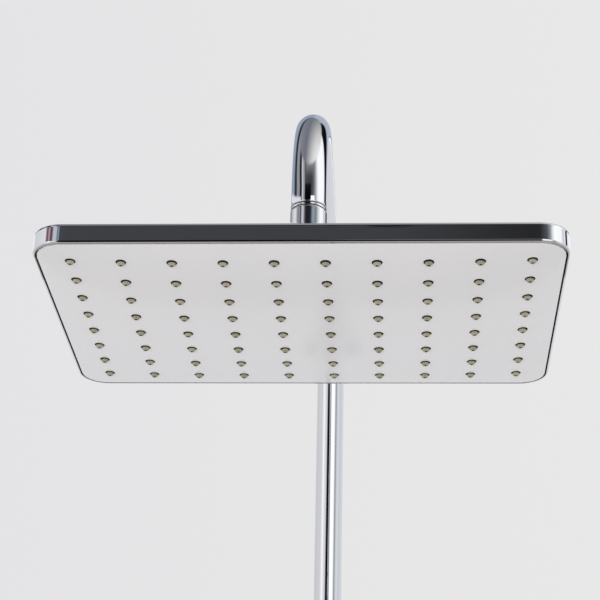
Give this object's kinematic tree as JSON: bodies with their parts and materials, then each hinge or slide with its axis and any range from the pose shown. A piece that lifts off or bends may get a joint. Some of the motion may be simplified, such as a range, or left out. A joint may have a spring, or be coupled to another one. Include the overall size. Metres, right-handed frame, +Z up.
{
  "type": "shower system",
  "caption": "Rectangular rain shower head on a ball joint, with a gooseneck arm that swivels on a wall-held riser, fed by a bar valve with two handles and a hose outlet.",
  "frame": {"origin": "on the wall plane, at the middle of the back face of the wall bracket's base plate", "axes": "+Y into the wall, +Z up along the riser, +X to the right as seen by someone facing the wall"},
  "size_m": [0.305, 0.5825, 1.143],
  "materials": {
    "chromed_abs": "bright chrome plating on moulded ABS",
    "chrome": "bright chrome plating on drawn or turned brass",
    "white_abs": "glossy moulded ABS",
    "silicone": "soft moulded silicone, slightly translucent",
    "grey_plastic": "moulded, matt",
    "white_acetal": "turned acetal, waxy",
    "rubber": "moulded EPDM, matt",
    "brass": "turned, bare",
    "stainless": "plain stainless steel",
    "red_plastic": "moulded ABS"
  },
  "bodies": {
    "column": {"riser_socket": "chrome", "glide_ring": "white_acetal", "joint_nut": "chrome", "riser_tube": "chrome", "bracket_base": "chrome", "bracket_cover": "chrome", "bracket_post": "chrome", "bracket_grub_screw": "stainless", "riser_end_fitting": "brass", "riser_union_washer": "rubber", "riser_union_nut": "chrome", "valve_body": "chrome", "hose_outlet": "chrome", "hot_wall_union": "chrome", "cold_wall_union": "chrome", "hot_union_nut": "chrome", "cold_union_nut": "chrome", "inlet_union_washers": "rubber", "hot_escutcheon": "chrome", "cold_escutcheon": "chrome", "inlet_filters": "grey_plastic", "check_valves": "grey_plastic", "thermostatic_cartridge": "grey_plastic", "wax_element": "brass", "thermostat_gland_nut": "brass", "diverter_cartridge": "grey_plastic", "diverter_bush": "grey_plastic", "diverter_gland_nut": "brass", "stop_ring": "white_acetal"},
    "arm": {"ball_stem": "chrome", "collar_nut": "chrome", "filter_washer": "rubber", "flow_limiter": "grey_plastic", "arm_insert": "brass", "collar_ring": "chrome", "arm_tube": "chrome", "arm_connector": "brass", "connector_seals": "rubber"},
    "seat_liner": {"ball_cup_liner": "white_acetal"},
    "seat_ring": {"ball_retainer_ring": "white_acetal"},
    "head": {"head_shell": "chromed_abs", "face_plate": "white_abs", "nozzle_mat": "silicone", "water_plate": "grey_plastic", "chamber_seal": "rubber", "chamber_screws": "stainless", "ball_seal": "rubber", "socket_nut": "chrome"},
    "temperature_handle": {"temperature_knob": "chromed_abs", "temperature_knob_screw": "stainless", "temperature_knob_cap": "chromed_abs", "thermostat_spindle": "brass", "button_spring": "stainless"},
    "stop_button": {"safety_button": "red_plastic"},
    "flow_handle": {"flow_knob": "chromed_abs", "flow_knob_screw": "stainless", "flow_knob_cap": "chromed_abs", "diverter_barrel": "brass"}
  },
  "joints": [
    {"name": "arm_swivel", "type": "hinge", "parent": "column", "child": "arm", "pos_m": [0, -0.065, 0.05], "axis": [0, 0, 1], "range_deg": [-45, 45]},
    {"name": "head_tilt", "type": "hinge", "parent": "arm", "child": "seat_liner", "pos_m": [0, -0.465, 0.214], "axis": [1, 0, 0], "range_deg": [-15, 15]},
    {"name": "head_lean", "type": "hinge", "parent": "seat_liner", "child": "seat_ring", "pos_m": [0, -0.465, 0.214], "axis": [0, 1, 0], "range_deg": [-15, 15]},
    {"name": "head_spin", "type": "hinge", "parent": "seat_ring", "child": "head", "pos_m": [0, -0.465, 0.214], "axis": [0, 0, 1], "continuous": true},
    {"name": "temperature_turn", "type": "hinge", "parent": "column", "child": "temperature_handle", "pos_m": [0.11, -0.065, -0.74], "axis": [1, 0, 0], "range_deg": [-150, 40]},
    {"name": "button_press", "type": "slide", "parent": "temperature_handle", "child": "stop_button", "axis": [0, 0, -1], "range_m": [0, 0.002], "stiffness_N_per_m": 600, "springref_m": -0.001, "deforming": ["button_spring"]},
    {"name": "flow_turn", "type": "hinge", "parent": "column", "child": "flow_handle", "pos_m": [-0.11, -0.065, -0.74], "axis": [1, 0, 0], "range_deg": [-90, 90]}
  ]
}
